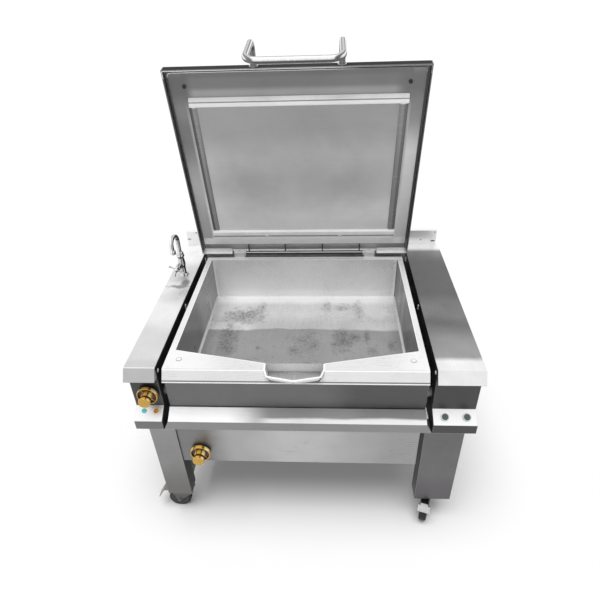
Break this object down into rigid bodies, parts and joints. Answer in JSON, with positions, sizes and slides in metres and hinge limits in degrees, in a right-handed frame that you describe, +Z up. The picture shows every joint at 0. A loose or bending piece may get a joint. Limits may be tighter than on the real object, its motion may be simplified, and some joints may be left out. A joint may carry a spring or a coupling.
{
  "type": "tilting bratt pan",
  "caption": "Stainless tilting bratt pan on castors, with a lid hinged on its rear rim, a pouring spout, side worktops and a gooseneck water tap.",
  "frame": {"origin": "middle of the footprint on the floor, under the middle of the overall box", "axes": "+X to the right seen from the front, +Y to the rear, +Z up; the operator stands at -Y"},
  "size_m": [1.333, 1.096, 1.8208],
  "materials": {
    "worktop_steel": "brushed",
    "panel_steel": "brushed",
    "leg_steel": "brushed",
    "vessel_steel": "satin",
    "spout_steel": "satin",
    "lid_steel": "satin",
    "handle_steel": "satin",
    "black_paint": "satin",
    "bright_screws": "polished",
    "tap_chrome": "polished",
    "knob_gold": "polished",
    "black_plastic": "matte",
    "button_plastic": "gloss",
    "cyan_lens": "gloss",
    "amber_lens": "gloss",
    "bare_steel": "machined",
    "motor_paint": "satin",
    "box_paint": "satin",
    "copper_pipe": "satin",
    "wool": "matte",
    "element_steel": "oxidised",
    "fork_steel": "zinc plated",
    "wheel_rubber": "matte",
    "buffer_rubber": "matte"
  },
  "bodies": {
    "frame": {"front_left_leg": "leg_steel", "front_right_leg": "leg_steel", "rear_left_leg": "leg_steel", "rear_right_leg": "leg_steel", "left_side_rail": "leg_steel", "right_side_rail": "leg_steel", "rear_cross_rail": "leg_steel", "front_beam": "panel_steel", "front_panel": "panel_steel", "left_console": "panel_steel", "right_console": "panel_steel", "left_worktop": "worktop_steel", "right_worktop": "worktop_steel", "left_cheek": "black_paint", "right_cheek": "black_paint", "cheek_screws": "bright_screws", "rear_upstand": "worktop_steel", "bearings": "bare_steel", "tilt_gearmotor": "motor_paint", "thermostat": "black_plastic", "selector_switch": "black_plastic", "cyan_lamp": "cyan_lens", "amber_lamp": "amber_lens", "button_housings": "bright_screws", "control_box": "box_paint", "supply_gland": "black_plastic", "tap_body": "tap_chrome", "water_pipe": "copper_pipe"},
    "pan": {"vessel": "vessel_steel", "pour_spout": "spout_steel", "pan_casing": "panel_steel", "base_plate": "bare_steel", "heating_elements": "element_steel", "insulation": "wool", "tilt_cradle": "bare_steel", "trunnions": "bare_steel", "hinge_bracket": "bare_steel"},
    "lid": {"lid_skin": "lid_steel", "lid_lining": "lid_steel", "lid_frame": "lid_steel", "lid_hinge_tube": "handle_steel", "lid_handle": "handle_steel", "lid_buffers": "buffer_rubber"},
    "worm": {"tilt_worm": "bare_steel"},
    "thermostat_knob": {"thermostat_knob": "knob_gold"},
    "selector_knob": {"selector_knob": "knob_gold"},
    "raise_button": {"raise_button": "button_plastic"},
    "lower_button": {"lower_button": "button_plastic"},
    "tap_spout": {"tap_spout": "tap_chrome"},
    "tap_handle": {"tap_handle": "tap_chrome"},
    "front_left_fork": {"front_left_fork": "fork_steel"},
    "front_left_wheel": {"front_left_wheel": "wheel_rubber"},
    "front_left_pedal": {"front_left_pedal": "fork_steel"},
    "front_right_fork": {"front_right_fork": "fork_steel"},
    "front_right_wheel": {"front_right_wheel": "wheel_rubber"},
    "front_right_pedal": {"front_right_pedal": "fork_steel"},
    "rear_left_fork": {"rear_left_fork": "fork_steel"},
    "rear_left_wheel": {"rear_left_wheel": "wheel_rubber"},
    "rear_right_fork": {"rear_right_fork": "fork_steel"},
    "rear_right_wheel": {"rear_right_wheel": "wheel_rubber"}
  },
  "joints": [
    {"name": "pan_tilt", "type": "hinge", "parent": "frame", "child": "pan", "pos_m": [-0.0235, -0.40058, 0.667], "axis": [1, 0, 0], "range_deg": [0, 85]},
    {"name": "worm_turn", "type": "hinge", "parent": "frame", "child": "worm", "pos_m": [0.5675, -0.40058, 0.7155], "axis": [0, 1, 0], "range_deg": [0, 2551]},
    {"name": "lid_hinge", "type": "hinge", "parent": "pan", "child": "lid", "pos_m": [-0.0235, 0.39342, 0.842], "axis": [-1, 0, 0], "range_deg": [-80, 0]},
    {"name": "thermostat_turn", "type": "hinge", "parent": "frame", "child": "thermostat_knob", "pos_m": [-0.5905, -0.44558, 0.692], "axis": [0, 1, 0], "range_deg": [0, 270]},
    {"name": "selector_turn", "type": "hinge", "parent": "frame", "child": "selector_knob", "pos_m": [-0.4155, -0.49258, 0.418], "axis": [0, 1, 0], "range_deg": [0, 180]},
    {"name": "raise_press", "type": "slide", "parent": "frame", "child": "raise_button", "axis": [0, 0.5286, -0.8489], "range_m": [0, 0.004], "stiffness_N_per_m": 600, "springref_m": -0.001},
    {"name": "lower_press", "type": "slide", "parent": "frame", "child": "lower_button", "axis": [0, 0.5286, -0.8489], "range_m": [0, 0.004], "stiffness_N_per_m": 600, "springref_m": -0.001},
    {"name": "tap_swivel", "type": "hinge", "parent": "frame", "child": "tap_spout", "pos_m": [-0.5975, 0.22142, 0.932], "axis": [0, 0, 1], "range_deg": [-110, 130]},
    {"name": "tap_valve", "type": "hinge", "parent": "frame", "child": "tap_handle", "pos_m": [-0.5975, 0.22142, 0.884], "axis": [-0.1045, -0.9945, 0], "range_deg": [-720, 0]},
    {"name": "front_left_swivel", "type": "hinge", "parent": "frame", "child": "front_left_fork", "pos_m": [-0.5325, -0.45458, 0.1], "axis": [0, 0, 1], "continuous": true},
    {"name": "front_left_roll", "type": "hinge", "parent": "front_left_fork", "child": "front_left_wheel", "pos_m": [-0.5725, -0.45458, 0.05], "axis": [0, -1, 0], "continuous": true},
    {"name": "front_left_brake", "type": "hinge", "parent": "front_left_fork", "child": "front_left_pedal", "pos_m": [-0.5945, -0.45458, 0.106], "axis": [0, -1, 0], "range_deg": [0, 7]},
    {"name": "front_right_swivel", "type": "hinge", "parent": "frame", "child": "front_right_fork", "pos_m": [0.5305, -0.45458, 0.1], "axis": [0, 0, 1], "continuous": true},
    {"name": "front_right_roll", "type": "hinge", "parent": "front_right_fork", "child": "front_right_wheel", "pos_m": [0.5188, -0.49283, 0.05], "axis": [0.9563, -0.2924, 0], "continuous": true},
    {"name": "front_right_brake", "type": "hinge", "parent": "front_right_fork", "child": "front_right_pedal", "pos_m": [0.51237, -0.51387, 0.106], "axis": [0.9563, -0.2924, 0], "range_deg": [0, 7]},
    {"name": "rear_left_swivel", "type": "hinge", "parent": "frame", "child": "rear_left_fork", "pos_m": [-0.5495, 0.47542, 0.1], "axis": [0, 0, 1], "continuous": true},
    {"name": "rear_left_roll", "type": "hinge", "parent": "rear_left_fork", "child": "rear_left_wheel", "pos_m": [-0.53323, 0.43888, 0.05], "axis": [0.9135, 0.4067, 0], "continuous": true},
    {"name": "rear_right_swivel", "type": "hinge", "parent": "frame", "child": "rear_right_fork", "pos_m": [0.5185, 0.47542, 0.1], "axis": [0, 0, 1], "continuous": true},
    {"name": "rear_right_roll", "type": "hinge", "parent": "rear_right_fork", "child": "rear_right_wheel", "pos_m": [0.49387, 0.4439, 0.05], "axis": [0.788, -0.6157, 0], "continuous": true}
  ],
  "couplings": [
    {"joint": "worm_turn", "follows": "pan_tilt", "ratio": 30}
  ]
}
